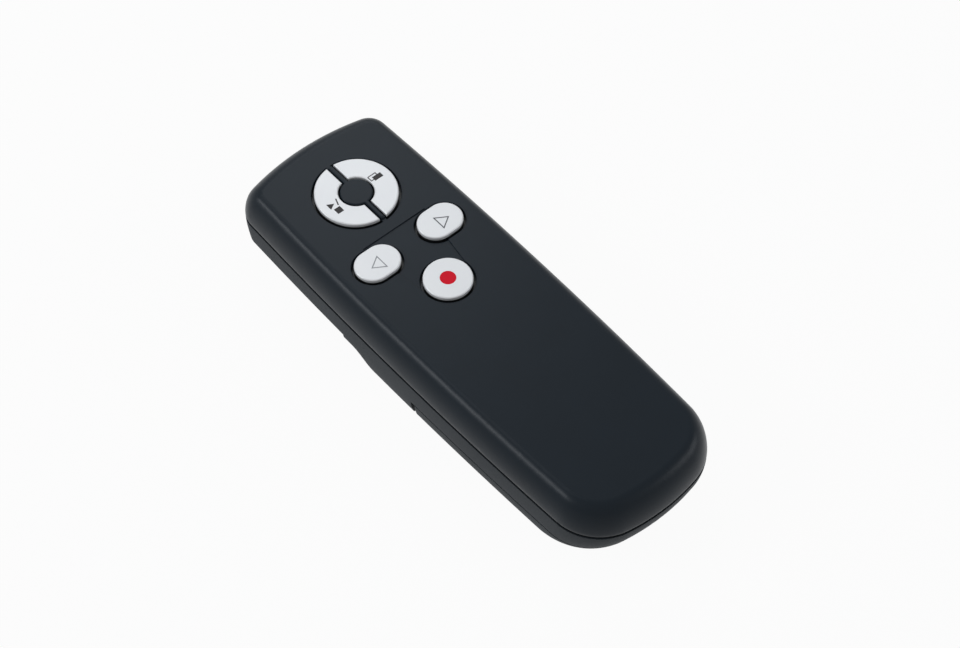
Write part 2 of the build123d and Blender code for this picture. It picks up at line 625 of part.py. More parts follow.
with BuildPart() as battery_door:
    add(base_outer)
    block(
        (-BODY_WIDTH, BODY_WIDTH),
        (-BODY_LENGTH, DOOR_FRONT_Y - DOOR_GAP),
        (-OVERRUN, DOOR_TOP_Z),
        Mode.INTERSECT,
    )
    add(door_inner, mode=Mode.SUBTRACT)
    # finger catch along the front edge
    add(catch.part, mode=Mode.SUBTRACT)
    # tongue that slips in over the fixed floor
    tongue_half = TONGUE_WIDTH / 2
    root_y = DOOR_FRONT_Y - 2 * TONGUE_REACH
    tongue_x = (-tongue_half, tongue_half)
    block(tongue_x, (root_y, DOOR_FRONT_Y - DOOR_GAP), (DOOR_WALL - ROOT, TONGUE_TOP_Z))
    block(tongue_x, (root_y, DOOR_FRONT_Y + TONGUE_REACH), (TONGUE_Z, TONGUE_TOP_Z))
    # ribs under the cells
    for y in [BAY_FRONT_Y - setback for setback in RIB_SETBACKS]:
        rib_half = BAY_HALF_WIDTH - 2 * DOOR_GAP
        block(
            (-rib_half, rib_half),
            (y - RIB_THICKNESS / 2, y + RIB_THICKNESS / 2),
            (DOOR_WALL - ROOT, CELL_BOTTOM_Z - DOOR_GAP),
        )
    # hooks that run over the rails
    for side in (-1, 1):
        lip_x, arm_x, back_x = [
            side * (BAY_OUTER + reach)
            for reach in (DOOR_GAP, RAIL_WIDTH + DOOR_GAP, RAIL_WIDTH + DOOR_GAP + HOOK_THICKNESS)
        ]
        for turn in range(HOOK_COUNT):
            y = RAIL_FRONT_Y - HOOK_LENGTH / 2 - turn * HOOK_PITCH
            hook_y = (y - HOOK_LENGTH / 2, y + HOOK_LENGTH / 2)
            arm = (min(arm_x, back_x), max(arm_x, back_x))
            lip = (min(lip_x, back_x), max(lip_x, back_x))
            block(arm, hook_y, (DOOR_WALL - ROOT, DOOR_TOP_Z))
            block(lip, hook_y, (DOOR_TOP_Z - HOOK_THICKNESS, DOOR_TOP_Z))
    # grip ridges for the thumb
    for ridge in range(GRIP_COUNT):
        y = DOOR_FRONT_Y - GRIP_SETBACK - ridge * GRIP_PITCH
        with Locations((0, y, 0)):
            Box(GRIP_LENGTH, GRIP_WIDTH, 2 * GRIP_DEPTH, mode=Mode.SUBTRACT)
finish(battery_door.part, "battery_door")


# ---------------------------------------------------------------- keys
def key_body(sketch_top, sketch_flange, stem):
    """Cap through its window, flange under the top cover and stem down to the switch."""
    with BuildPart() as key:
        with BuildSketch(Plane.XY.offset(FLANGE_Z)):
            sketch_flange()
        extrude(amount=FLANGE_THICKNESS)
        with BuildSketch(Plane.XY.offset(FLANGE_Z)):
            sketch_top()
        extrude(amount=KEY_TOP_Z - FLANGE_Z)
        fillet(key.faces().sort_by(Axis.Z)[-1].edges(), KEY_EDGE)
        post(stem, STEM_RADIUS, (STEM_Z, FLANGE_Z + ROOT))
    return key.part


def ring_key(side):
    """One half of the round key pair."""
    return key_body(
        lambda: half_ring(
            RING_RADIUS, DISC_RADIUS + KEY_GAP, SPOKE_WIDTH / 2 + KEY_GAP, side
        ),
        lambda: half_ring(
            RING_HOLE + FLANGE_WIDTH, DISC_RADIUS - FLANGE_WIDTH, KEY_GAP, side
        ),
        (side * RING_STEM_X, RING_Y),
    )


def oval_key(side):
    """Oval key; its flange stops where the case's shoulder comes down beside it."""
    shoulder_x = OVAL_X + OVAL_LENGTH / 2 + KEY_GAP

    def shape(grow):
        with Locations((side * OVAL_X, OVAL_Y)):
            SlotOverall(OVAL_LENGTH + grow, OVAL_WIDTH + grow)
        with Locations((side * (shoulder_x + OVAL_WIDTH / 2), OVAL_Y)):
            Rectangle(OVAL_WIDTH, 2 * OVAL_WIDTH, mode=Mode.SUBTRACT)

    return key_body(
        lambda: shape(0),
        lambda: shape(2 * (WINDOW_GAP + FLANGE_WIDTH)),
        (side * OVAL_X, OVAL_Y),
    )


def round_key():
    def shape(grow):
        with Locations((0, LASER_KEY_Y)):
            Circle(LASER_KEY_RADIUS + grow)

    return key_body(
        lambda: shape(0), lambda: shape(WINDOW_GAP + FLANGE_WIDTH), (0, LASER_KEY_Y)
    )


finish(ring_key(-1), "start_stop_button")
finish(ring_key(1), "blank_screen_button")
finish(oval_key(-1), "previous_button")
finish(oval_key(1), "next_button")

with BuildPart() as laser_button:
    add(round_key())
    post(
        (0, LASER_KEY_Y),
        DOT_RADIUS + SEAT_FIT,
        (KEY_TOP_Z - DOT_DEPTH, KEY_TOP_Z + OVERRUN),
        Mode.SUBTRACT,
    )
finish(laser_button.part, "laser_button")

with BuildPart() as laser_button_dot:
    post((0, LASER_KEY_Y), DOT_RADIUS, (KEY_TOP_Z - DOT_DEPTH, KEY_TOP_Z))
finish(laser_button_dot.part, "laser_button_dot")

# ---------------------------------------------------------------- switches under the keys
with BuildPart() as tactile_switches:
    for x, y in SWITCH_PLACES.values():
        half = SWITCH_SIZE / 2
        block((x - half, x + half), (y - half, y + half), (BOARD_TOP_Z, SWITCH_TOP_Z))
        bore_z = SWITCH_TOP_Z - PLUNGER_SUNK - KEY_TRAVEL - DOOR_GAP
        post((x, y), PLUNGER_RADIUS + PLUNGER_FIT, (bore_z, SWITCH_TOP_Z + OVERRUN), Mode.SUBTRACT)
finish(tactile_switches.part, "tactile_switches")

for key_name, place in SWITCH_PLACES.items():
    with BuildPart() as plunger:
        post(place, PLUNGER_RADIUS, (SWITCH_TOP_Z - PLUNGER_SUNK, PLUNGER_TOP_Z))
    finish(plunger.part, f"{key_name}_switch_plunger")

# ---------------------------------------------------------------- circuit board
with BuildPart() as circuit_board:
    block(
        (-BOARD_HALF_WIDTH, BOARD_HALF_WIDTH), (BOARD_REAR_Y, BOARD_FRONT_Y), (BOARD_Z, BOARD_TOP_Z)
    )
    block(
        (-BOARD_NOTCH_HALF, BOARD_NOTCH_HALF),
        (BOARD_NOTCH_Y, BOARD_FRONT_Y + OVERRUN),
        (BOARD_Z - OVERRUN, BOARD_TOP_Z + OVERRUN),
        Mode.SUBTRACT,
    )
    for place in CASE_SCREWS:
        post(place, CASE_FOOT_RADIUS + KEY_GAP, (BOARD_Z - OVERRUN, BOARD_TOP_Z + OVERRUN), Mode.SUBTRACT)
    for place in BOARD_SCREWS:
        post(
            place,
            BOARD_SHANK_RADIUS + SHANK_CLEARANCE,
            (BOARD_Z - OVERRUN, BOARD_TOP_Z + OVERRUN),
            Mode.SUBTRACT,
        )
finish(circuit_board.part, "circuit_board")


def chip(name, centre, size):
    """Flat package soldered to the underside of the board."""
    with BuildPart() as package:
        with Locations((centre[0], centre[1], BOARD_Z - size[2] / 2)):
            Box(*size)
        chamfer(package.faces().sort_by(Axis.Z)[0].edges(), size[2] / 4)
    finish(package.part, name)


chip("microcontroller", (0, LASER_KEY_Y + CONTROLLER_AHEAD), CONTROLLER_SIZE)
chip("radio_chip", (0, OVAL_Y + RADIO_AHEAD), RADIO_SIZE)
chip("crystal_oscillator", (CRYSTAL_X, OVAL_Y + RADIO_AHEAD), CRYSTAL_SIZE)

with BuildPart() as small_components:
    for row in range(2):
        for column in range(COMPONENT_COLUMNS):
            x = COMPONENT_X + column * COMPONENT_PITCH[0]
            y = LASER_KEY_Y - COMPONENT_BEHIND + row * COMPONENT_PITCH[1]
            with Locations((x, y, BOARD_Z - COMPONENT_SIZE[2] / 2)):
                Box(*COMPONENT_SIZE)
finish(small_components.part, "small_components")

with BuildPart() as antenna:
    with BuildSketch(Plane.XY.offset(BOARD_Z - ANTENNA_THICKNESS)):
        for turn in range(ANTENNA_TURNS):
            y = OVAL_Y + ANTENNA_AHEAD + turn * ANTENNA_PITCH
            with Locations((ANTENNA_X, y)):
                Rectangle(ANTENNA_WIDTH, ANTENNA_TRACK)
            end = ANTENNA_WIDTH / 2 - ANTENNA_TRACK / 2
            with Locations((ANTENNA_X + (end if turn % 2 else -end), y + ANTENNA_PITCH / 2)):
                Rectangle(ANTENNA_TRACK, ANTENNA_PITCH + ANTENNA_TRACK)
    extrude(amount=ANTENNA_THICKNESS)
finish(antenna.part, "antenna")

# ---------------------------------------------------------------- laser module
with BuildPart() as laser_barrel:
    rod_along_y(0, BARREL_Z, BARREL_RADIUS, (BARREL_REAR_Y, BARREL_FRONT_Y))
    rod_along_y(0, BARREL_Z, BARREL_BORE, (BARREL_REAR_Y - OVERRUN, BARREL_FRONT_Y), Mode.SUBTRACT)
    flange_y = (BARREL_REAR_Y - OVERRUN, BARREL_REAR_Y + DIODE_FLANGE_LENGTH)
    rod_along_y(0, BARREL_Z, DIODE_FLANGE_RADIUS + SEAT_FIT, flange_y, Mode.SUBTRACT)
    lens_y = (LENS_REAR_Y, BARREL_FRONT_Y + OVERRUN)
    rod_along_y(0, BARREL_Z, LENS_RADIUS + SEAT_FIT, lens_y, Mode.SUBTRACT)
finish(laser_barrel.part, "laser_barrel")

with BuildPart() as laser_diode:
    flange_front_y = BARREL_REAR_Y + DIODE_FLANGE_LENGTH
    rod_along_y(0, BARREL_Z, DIODE_FLANGE_RADIUS, (BARREL_REAR_Y, flange_front_y))
    cap_y = (flange_front_y, flange_front_y + DIODE_CAP_LENGTH)
    rod_along_y(0, BARREL_Z, DIODE_CAP_RADIUS, cap_y)
finish(laser_diode.part, "laser_diode")

with BuildPart() as laser_leads:
    for side in (-1, 1):
        x = side * DIODE_LEAD_SPREAD
        land_z = BOARD_TOP_Z + DIODE_LEAD_RADIUS
        with BuildLine() as lead:
            Polyline(
                (x, BARREL_REAR_Y, BARREL_Z),
                (x, BARREL_REAR_Y - LEAD_STRAIGHT, BARREL_Z),
                (x, BARREL_REAR_Y - LEAD_STRAIGHT - LEAD_BEND, land_z),
                (x, BOARD_NOTCH_Y - LEAD_LAND, land_z),
            )
        with BuildSketch(Plane(origin=lead.line @ 0, z_dir=lead.line % 0)):
            Circle(DIODE_LEAD_RADIUS)
        sweep(path=lead.line, transition=Transition.ROUND)
finish(laser_leads.part, "laser_leads")

with BuildPart() as laser_lens:
    rod_along_y(0, BARREL_Z, LENS_RADIUS, (LENS_REAR_Y, LENS_REAR_Y + LENS_LENGTH))
    fillet(laser_lens.faces().sort_by(Axis.Y)[0].edges(), LENS_LENGTH / 3)
finish(laser_lens.part, "laser_lens")

ring_rear_y = LENS_REAR_Y + LENS_LENGTH
with BuildPart() as lens_ring:
    rod_along_y(0, BARREL_Z, LENS_RADIUS, (ring_rear_y, ring_rear_y + LENS_RING_LENGTH))
    rod_along_y(0, BARREL_Z, BARREL_BORE, (ring_rear_y - OVERRUN, BARREL_FRONT_Y), Mode.SUBTRACT)
finish(lens_ring.part, "lens_ring")

with BuildPart() as laser_window:
    rod_along_y(0, BARREL_Z, LENS_RADIUS, (BARREL_FRONT_Y - WINDOW_THICKNESS, BARREL_FRONT_Y))
finish(laser_window.part, "laser_window")


# ---------------------------------------------------------------- cells and contacts
def cell(x, nub_y, toward):
    """AAA cell whose positive nub touches its contact at nub_y and points that way."""
    can_end = nub_y - toward * NUB_LENGTH
    flat_end = nub_y - toward * CELL_LENGTH
    with BuildPart() as body:
        rod_along_y(x, CELL_Z, CELL_RADIUS, sorted((can_end, flat_end)))
        fillet(body.edges().filter_by(GeomType.CIRCLE), CELL_EDGE)
        rod_along_y(x, CELL_Z, NUB_DIAMETER / 2, sorted((can_end - toward * ROOT, nub_y)))
    return body.part


finish(cell(-CELL_X, BAY_FRONT_Y - CONTACT_THICKNESS, 1), "left_cell")
finish(cell(CELL_X, BAY_REAR_Y + CONTACT_THICKNESS, -1), "right_cell")


def spring(x, y):
    """Contact spring along the case, pressed between a contact and a cell."""
    with BuildPart() as coil:
        with BuildLine() as path:
            Helix(
                pitch=(SPRING_LENGTH - SPRING_WIRE) / SPRING_TURNS,
                height=SPRING_LENGTH - SPRING_WIRE,
                radius=SPRING_RADIUS,
                center=(x, y + SPRING_WIRE / 2, CELL_Z),
                direction=(0, 1, 0),
            )
        with BuildSketch(Plane(origin=path.line @ 0, z_dir=path.line % 0)):
            Circle(SPRING_WIRE / 2)
        sweep(path=path.line)
    return coil.part


finish(spring(-CELL_X, BAY_REAR_Y + CONTACT_THICKNESS), "rear_battery_spring")
finish(
    spring(CELL_X, BAY_FRONT_Y - CONTACT_THICKNESS - SPRING_LENGTH), "front_battery_spring"
)

CONTACT_Z = (CELL_Z - CONTACT_HEIGHT / 2, CELL_Z + CONTACT_HEIGHT / 2)
with BuildPart() as rear_contact_bridge:
    far_x = CELL_X + CONTACT_WIDTH / 2
    block((-far_x, far_x), (BAY_REAR_Y, BAY_REAR_Y + CONTACT_THICKNESS), CONTACT_Z)
finish(rear_contact_bridge.part, "rear_contact_bridge")

for contact_name, x in (("positive_contact", -CELL_X), ("negative_contact", CELL_X)):
    with BuildPart() as contact:
        half = CONTACT_WIDTH / 2
        block((x - half, x + half), (BAY_FRONT_Y - CONTACT_THICKNESS, BAY_FRONT_Y), CONTACT_Z)
        block(
            (x - TAB_WIDTH / 2, x + TAB_WIDTH / 2),
            (BAY_FRONT_Y - CONTACT_THICKNESS, BOARD_REAR_Y + TAB_REACH),
            (TAB_Z, TAB_Z + CONTACT_THICKNESS),
        )
    finish(contact.part, contact_name)


# ---------------------------------------------------------------- screws
def screw(place, seat_z, head_radius, head_height, shank_radius, tip_z):
    """Pan head screw driven upward, with a cross recess in its head."""
    with BuildPart() as fastener:
        post(place, head_radius, (seat_z - head_height, seat_z))
        fillet(fastener.edges().sort_by(Axis.Z)[0], head_height / 3)
        post(place, shank_radius, (seat_z - head_height / 2, tip_z))
        chamfer(fastener.edges().sort_by(Axis.Z)[-1], shank_radius / 2)
        with Locations((place[0], place[1], seat_z - head_height)):
            Box(DRIVE_WIDTH, head_radius * 1.3, 2 * DRIVE_DEPTH, mode=Mode.SUBTRACT)
            Box(head_radius * 1.3, DRIVE_WIDTH, 2 * DRIVE_DEPTH, mode=Mode.SUBTRACT)
    return fastener.part


with BuildPart() as case_screws:
    for place in CASE_SCREWS:
        add(
            screw(
                place,
                CASE_SEAT_Z,
                CASE_HEAD_RADIUS,
                CASE_HEAD_HEIGHT,
                CASE_SHANK_RADIUS,
                PARTING_Z + CASE_SCREW_REACH,
            )
        )
finish(case_screws.part, "case_screws")

with BuildPart() as board_screws:
    for place in BOARD_SCREWS:
        add(
            screw(
                place,
                BOARD_Z,
                BOARD_HEAD_RADIUS,
                BOARD_HEAD_HEIGHT,
                BOARD_SHANK_RADIUS,
                BOARD_TOP_Z + BOARD_SCREW_BITE,
            )
        )
finish(board_screws.part, "board_screws")
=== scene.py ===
"""Wireless presentation clicker: its two-part moulded case, painted keys, cells and circuit."""

import json
from math import cos, hypot, radians, sin, sqrt

import bmesh
import bpy
from mathutils import Matrix, Vector


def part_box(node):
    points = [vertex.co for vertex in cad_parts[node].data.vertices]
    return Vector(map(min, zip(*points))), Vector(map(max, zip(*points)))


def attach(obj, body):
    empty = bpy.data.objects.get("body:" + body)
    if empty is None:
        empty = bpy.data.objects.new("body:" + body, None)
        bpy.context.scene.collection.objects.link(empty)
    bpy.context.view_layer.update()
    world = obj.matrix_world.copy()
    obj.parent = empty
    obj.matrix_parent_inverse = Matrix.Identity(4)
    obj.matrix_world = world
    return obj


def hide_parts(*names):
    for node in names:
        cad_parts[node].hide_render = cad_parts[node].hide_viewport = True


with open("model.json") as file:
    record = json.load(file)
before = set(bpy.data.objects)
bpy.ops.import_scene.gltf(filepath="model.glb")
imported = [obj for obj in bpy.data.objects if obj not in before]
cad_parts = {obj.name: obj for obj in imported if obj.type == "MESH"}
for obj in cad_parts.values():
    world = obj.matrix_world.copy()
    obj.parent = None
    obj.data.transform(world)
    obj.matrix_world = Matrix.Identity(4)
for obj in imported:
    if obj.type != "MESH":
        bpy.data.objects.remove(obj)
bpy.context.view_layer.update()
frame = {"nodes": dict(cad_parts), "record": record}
nodes = frame["nodes"]

MM = 0.001

# heights of the case above the floor, in mm; its nose points along +Y
SEAM = 10.6  # parting plane of the two covers
PANEL = 17.75  # shallow panel round the lower keys
FACE = 18.0
DISC = 18.6  # centre disc of the round key pair, with its spokes
KEY_TOP = 18.7


# ---------------------------------------------------------------- camera and lamps
CAMERA_AZIMUTH = -40.77  # degrees, from behind the rear end towards the left side
CAMERA_ELEVATION = 54.67
CAMERA_DISTANCE = 450.0  # mm
CAMERA_SIDESTEP = (1.44, 0.12)  # mm to the right and upwards, to centre the case
LENS = 84.54
SENSOR_WIDTH = 36
NEAREST_SEEN = 0.02  # m

LAMP_COLOUR = (0.92, 0.96, 1.0)  # slightly cool studio tubes


def look_from(azimuth, elevation):
    """Directions to the right of the camera, above it and behind it."""
    turn, lift = radians(azimuth), radians(elevation)
    back = Vector((sin(turn) * cos(lift), -cos(turn) * cos(lift), sin(lift)))
    right = Vector((cos(turn), sin(turn), 0))
    return right, back.cross(right), back


def softbox(name, place, size, watts, target=(0, 0, 0)):
    """Rectangular studio lamp at a place, aimed at a target; all in metres."""
    lamp = bpy.data.objects.new(name, bpy.data.lights.new(name, "AREA"))
    bpy.context.scene.collection.objects.link(lamp)
    lamp.data.shape = "RECTANGLE"
    lamp.data.size, lamp.data.size_y = size
    lamp.data.energy = watts
    lamp.data.color = LAMP_COLOUR
    beam = (Vector(target) - Vector(place)).normalized()
    turn = beam.to_track_quat("-Z", "Y").to_matrix().to_4x4()
    lamp.matrix_world = Matrix.Translation(place) @ turn


right, above, back = look_from(CAMERA_AZIMUTH, CAMERA_ELEVATION)
camera = bpy.data.objects.new("camera", bpy.data.cameras.new("camera"))
bpy.context.scene.collection.objects.link(camera)
sidestep = CAMERA_SIDESTEP[0] * right + CAMERA_SIDESTEP[1] * above
eye = Vector((0, 0, SEAM * MM)) + (sidestep + CAMERA_DISTANCE * back) * MM
camera.matrix_world = Matrix.Translation(eye) @ Matrix((right, above, back)).transposed().to_4x4()
camera.data.sensor_width = SENSOR_WIDTH
camera.data.lens = LENS
camera.data.clip_start = NEAREST_SEEN
bpy.context.scene.camera = camera
bpy.context.scene.view_settings.view_transform = "Standard"

softbox("left_softbox", (-0.74, 0.44, 0.51), (0.6, 0.2), 4.2)
softbox("front_softbox", (0.55, 0.65, 0.50), (0.5, 0.3), 0.8)
softbox("front_fill", (0.109, 0.208, 0.248), (0.12, 0.12), 0.1, target=(0, 0.05, 0.018))
softbox("overhead_softbox", (-0.10, 0.50, 0.86), (0.5, 0.5), 1.1)
softbox("rear_softbox", (0.70, -0.62, 0.38), (0.6, 0.4), 2.4)


# ---------------------------------------------------------------- materials
PLASTIC_IOR = 1.53
ACRYLIC_IOR = 1.49
CLOUD_MM = 9  # spacing of the slow unevenness in a plastic's tone
SHEEN_SPREAD = 0.05  # roughness of a plastic varies by this much with its grain
MARKS_MM = 0.3  # spacing of the handling marks on metal
MARKS_SPREAD = 0.08


def linear(hex_colour):
    """sRGB hex to the linear colour that a shader takes."""
    shares = [int(hex_colour[i : i + 2], 16) / 255 for i in (1, 3, 5)]
    return [s / 12.92 if s <= 0.04045 else ((s + 0.055) / 1.055) ** 2.4 for s in shares] + [1.0]


def node(tree, kind, links=None, **settings):
    """Add a shader node with its settings; a setting named in_X sets the socket X."""
    made = tree.nodes.new(kind)
    for name, value in settings.items():
        if name.startswith("in_"):
            made.inputs[name[3:].replace("_", " ")].default_value = value
        else:
            setattr(made, name, value)
    for socket, source in (links or {}).items():
        tree.links.new(source, made.inputs[socket])
    return made


def new_material(name, **sockets):
    """Material with only an output and a principled shader, whose sockets are set."""
    material = bpy.data.materials.new(name)
    material.use_nodes = True
    tree = material.node_tree
    tree.nodes.clear()
    shader = node(tree, "ShaderNodeBsdfPrincipled", **sockets)
    node(tree, "ShaderNodeOutputMaterial", {"Surface": shader.outputs["BSDF"]})
    return material, tree, shader


def grained_plastic(
    name, dark, light, roughness=0.5, grain_mm=0.2, bump_mm=0.001, specular=0.5, metallic=0.0
):
    """Moulded, painted or printed plastic: fine grain, slightly uneven tone and sheen."""
    material, tree, shader = new_material(
        name, in_IOR=PLASTIC_IOR, in_Specular_IOR_Level=specular, in_Metallic=metallic
    )
    place = node(tree, "ShaderNodeTexCoord").outputs["Object"]
    cloud = node(
        tree, "ShaderNodeTexNoise", {"Vector": place}, in_Scale=1 / (CLOUD_MM * MM), in_Detail=3.0
    )
    tone = node(
        tree,
        "ShaderNodeMix",
        {"Factor": cloud.outputs["Fac"]},
        data_type="RGBA",
        in_A=linear(dark),
        in_B=linear(light),
    )
    grain = node(
        tree, "ShaderNodeTexNoise", {"Vector": place}, in_Scale=1 / (grain_mm * MM), in_Detail=2.0
    )
    gloss = node(
        tree,
        "ShaderNodeMapRange",
        {"Value": grain.outputs["Fac"]},
        in_To_Min=roughness - SHEEN_SPREAD,
        in_To_Max=roughness + SHEEN_SPREAD,
    )
    relief = node(
        tree, "ShaderNodeBump", {"Height": grain.outputs["Fac"]}, in_Distance=bump_mm * MM
    )
    tree.links.new(tone.outputs["Result"], shader.inputs["Base Color"])
    tree.links.new(gloss.outputs["Result"], shader.inputs["Roughness"])
    tree.links.new(relief.outputs["Normal"], shader.inputs["Normal"])
    return material


def paint_gap_shade(material, level_mm, depth_mm, gap_shade):
    """Painted shade: below a level, fade a wall's colour to a dark shade and its metal shine to
    none, as in the shade of a gap.
    """
    tree = material.node_tree
    shader = tree.nodes["Principled BSDF"]
    place = node(tree, "ShaderNodeTexCoord").outputs["Object"]
    height = node(tree, "ShaderNodeSeparateXYZ", {"Vector": place})
    # painted shade mask: 1 above the level, falling to 0 at the given depth below it
    unshaded_share = node(
        tree,
        "ShaderNodeMapRange",
        {"Value": height.outputs["Z"]},
        in_From_Min=(level_mm - depth_mm) * MM,
        in_From_Max=level_mm * MM,
    )
    paint = shader.inputs["Base Color"].links[0].from_socket
    tone = node(
        tree,
        "ShaderNodeMix",
        {"Factor": unshaded_share.outputs["Result"], "B": paint},
        data_type="RGBA",
        in_A=linear(gap_shade),
    )
    tree.links.new(tone.outputs["Result"], shader.inputs["Base Color"])
    # painted shade: the metal shine goes where the colour turns dark
    flake = node(tree, "ShaderNodeMath", {0: unshaded_share.outputs["Result"]}, operation="MULTIPLY")
    flake.inputs[1].default_value = shader.inputs["Metallic"].default_value
    tree.links.new(flake.outputs[0], shader.inputs["Metallic"])


def metal(name, colour, roughness):
    """Bare or plated metal with faint handling marks in its gloss."""
    material, tree, shader = new_material(name, in_Base_Color=linear(colour), in_Metallic=1.0)
    place = node(tree, "ShaderNodeTexCoord").outputs["Object"]
    marks = node(
        tree, "ShaderNodeTexNoise", {"Vector": place}, in_Scale=1 / (MARKS_MM * MM), in_Detail=4.0
    )
    gloss = node(
        tree,
        "ShaderNodeMapRange",
        {"Value": marks.outputs["Fac"]},
        in_To_Min=roughness - MARKS_SPREAD,
        in_To_Max=roughness + MARKS_SPREAD,
    )
    tree.links.new(gloss.outputs["Result"], shader.inputs["Roughness"])
    return material


# ABS from a finely etched mould: an even, dry black with broad, soft highlights
top_plastic = grained_plastic(
    "matt_black_abs",
    "#141C23",
    "#172028",
    roughness=0.33,
    grain_mm=0.25,
    bump_mm=0.003,
    specular=0.13,
)
# ABS from a spark-eroded mould: coarser and a shade greyer, without a clear highlight
lower_plastic = grained_plastic(
    "spark_grained_abs",
    "#23282C",
    "#2C3136",
    roughness=0.6,
    grain_mm=0.35,
    bump_mm=0.02,
    specular=0.15,
)
# silver lacquer with fine flake: bright and satin on top; down the walls, painted shade of the gap
# round each key darkens it to black
silver_paint = grained_plastic(
    "satin_silver_paint", "#D9DADC", "#DFE0E1", roughness=0.45, grain_mm=0.12, metallic=0.25
)
# painted shade: the key walls turn near black below the face, where they go down into the gap
# round each key
paint_gap_shade(silver_paint, FACE, depth_mm=0.2, gap_shade="#121416")
# insert moulded in red plastic: a full, clear red with little shine
red_plastic = grained_plastic(
    "red_moulded_insert", "#D80C26", "#DC1029", roughness=0.4, bump_mm=0.002, specular=0.1
)
# pad-printed inks: flat and dull on the satin paint
black_ink = grained_plastic("black_pad_print", "#1E1A1B", "#242021", specular=0.3)
grey_ink = grained_plastic("grey_pad_print", "#55565A", "#5E5F62", specular=0.3)
pale_ink = grained_plastic("pale_grey_pad_print", "#8E9094", "#96989B", specular=0.3)
# glass-filled resin of the switches: black and rather dull
switch_resin = grained_plastic(
    "black_switch_resin", "#17181A", "#1D1E20", roughness=0.55, grain_mm=0.3, bump_mm=0.002
)
# acetal without pigment: milky beige with a waxy sheen
acetal = grained_plastic("natural_acetal", "#CFC6B2", "#D8D0BE", roughness=0.45, grain_mm=0.3)
# epoxy pressed round a chip: charcoal with a fine sandy surface
chip_resin = grained_plastic(
    "chip_moulding_resin", "#1B1C1E", "#232426", roughness=0.6, grain_mm=0.15, bump_mm=0.003
)
# fired ceramic of capacitors and resistors: tan, slightly mottled
ceramic = grained_plastic("component_ceramic", "#9A8462", "#AD9670")
# cured solder mask over woven laminate: glossy dark green, slightly uneven
solder_mask = grained_plastic(
    "green_solder_mask", "#0E4A2A", "#14573A", roughness=0.3, grain_mm=0.6, bump_mm=0.002
)
# film shrunk on the cells: smooth and glossy, light grey with a blue-green band
sleeve_print = grained_plastic(
    "cell_sleeve_film", "#C9CDD1", "#D2D5D8", roughness=0.25, grain_mm=1.2, bump_mm=0.002
)
band_print = grained_plastic(
    "cell_band_film", "#1F6F66", "#24776D", roughness=0.25, grain_mm=1.2, bump_mm=0.002
)
# nickel on pressed sheet: warm grey, its reflections blurred
steel = metal("nickel_plated_steel", "#C9C8C4", 0.3)
# nickel on drawn wire: a little brighter and smoother than the sheet
spring_steel = metal("nickel_plated_spring", "#D2D0CB", 0.25)
# thin gold on copper track: soft yellow
gold = metal("gold_flashed_copper", "#D9B466", 0.35)
# brass from the lathe: darker yellow, brighter highlights
brass = metal("turned_brass", "#C7A15A", 0.3)
# blackened zinc on the screws: dark grey with a muted metal shine
black_zinc = metal("black_zinc_plate", "#3C3D40", 0.4)
# injection-moulded acrylic: clear and glossy, with a slight cool tint
acrylic = new_material(
    "clear_acrylic",
    in_Base_Color=linear("#E8F0F4"),
    in_Roughness=0.05,
    in_IOR=ACRYLIC_IOR,
    in_Transmission_Weight=0.9,
)[0]

FINISHES = {
    "top_plastic": top_plastic,
    "lower_plastic": lower_plastic,
    "silver_key": silver_paint,
    "red_dot": red_plastic,
    "switch_housing": switch_resin,
    "switch_plunger": acetal,
    "board_laminate": solder_mask,
    "chip_resin": chip_resin,
    "ceramic": ceramic,
    "gold_track": gold,
    "brass": brass,
    "steel": steel,
    "spring_steel": spring_steel,
    "clear_lens": acrylic,
    "cell_sleeve": sleeve_print,
    "black_screw": black_zinc,
}
for subpart in frame["record"]["subparts"]:
    mesh = nodes[subpart["node"]].data
    mesh.materials.clear()
    mesh.materials.append(FINISHES[subpart["material_slot"]])


# ---------------------------------------------------------------- modelling helpers
SELECT_MODES = {"edges": "EDGE", "faces": "FACE"}
DOUBLES = 0.001  # mm between points that are one
FLATNESS = 0.1  # degrees between triangles of one flat face
LEVEL_SLACK = 0.002  # mm
SHARP_EDGE = 30  # degrees, from here on an edge of a moulding gets rounded
SHADING_EDGE = 35  # degrees, up to here two faces shade as one
FLAT_AREA = 20  # mm2, from here on a face keeps its own normal up to its border
FACE_WEIGHT = 100


def edit(piece):
    """Open one piece in edit mode with nothing else selected."""
    bpy.ops.object.select_all(action="DESELECT")
    piece.select_set(True)
    bpy.context.view_layer.objects.active = piece
    bpy.ops.object.mode_set(mode="EDIT")


def pick(kind, test):
    """Select the edited mesh's edges or faces that pass a test."""
    bpy.ops.mesh.select_mode(type=SELECT_MODES[kind])
    bpy.ops.mesh.select_all(action="DESELECT")
    mesh = bmesh.from_edit_mesh(bpy.context.edit_object.data)
    for element in getattr(mesh, kind):
        if test(element):
            element.select_set(True)
    mesh.select_flush_mode()
    bmesh.update_edit_mesh(bpy.context.edit_object.data)


def moulded_copy(node_name, name):
    """Copy of a CAD solid with its loose triangles merged and its flat faces made whole."""
    piece = bpy.data.objects.new(name, nodes[node_name].data.copy())
    bpy.context.scene.collection.objects.link(piece)
    edit(piece)
    bpy.ops.mesh.select_all(action="SELECT")
    bpy.ops.mesh.remove_doubles(threshold=DOUBLES * MM)
    bpy.ops.mesh.dissolve_limited(angle_limit=radians(FLATNESS))
    return piece


def new_piece(name):
    """Empty mesh object at the origin, open in edit mode."""
    piece = bpy.data.objects.new(name, bpy.data.meshes.new(name))
    bpy.context.scene.collection.objects.link(piece)
    edit(piece)
    return piece


def sharp(edge):
    """Edge between two faces that meet at a clear angle."""
    return len(edge.link_faces) == 2 and edge.calc_face_angle() > radians(SHARP_EDGE)


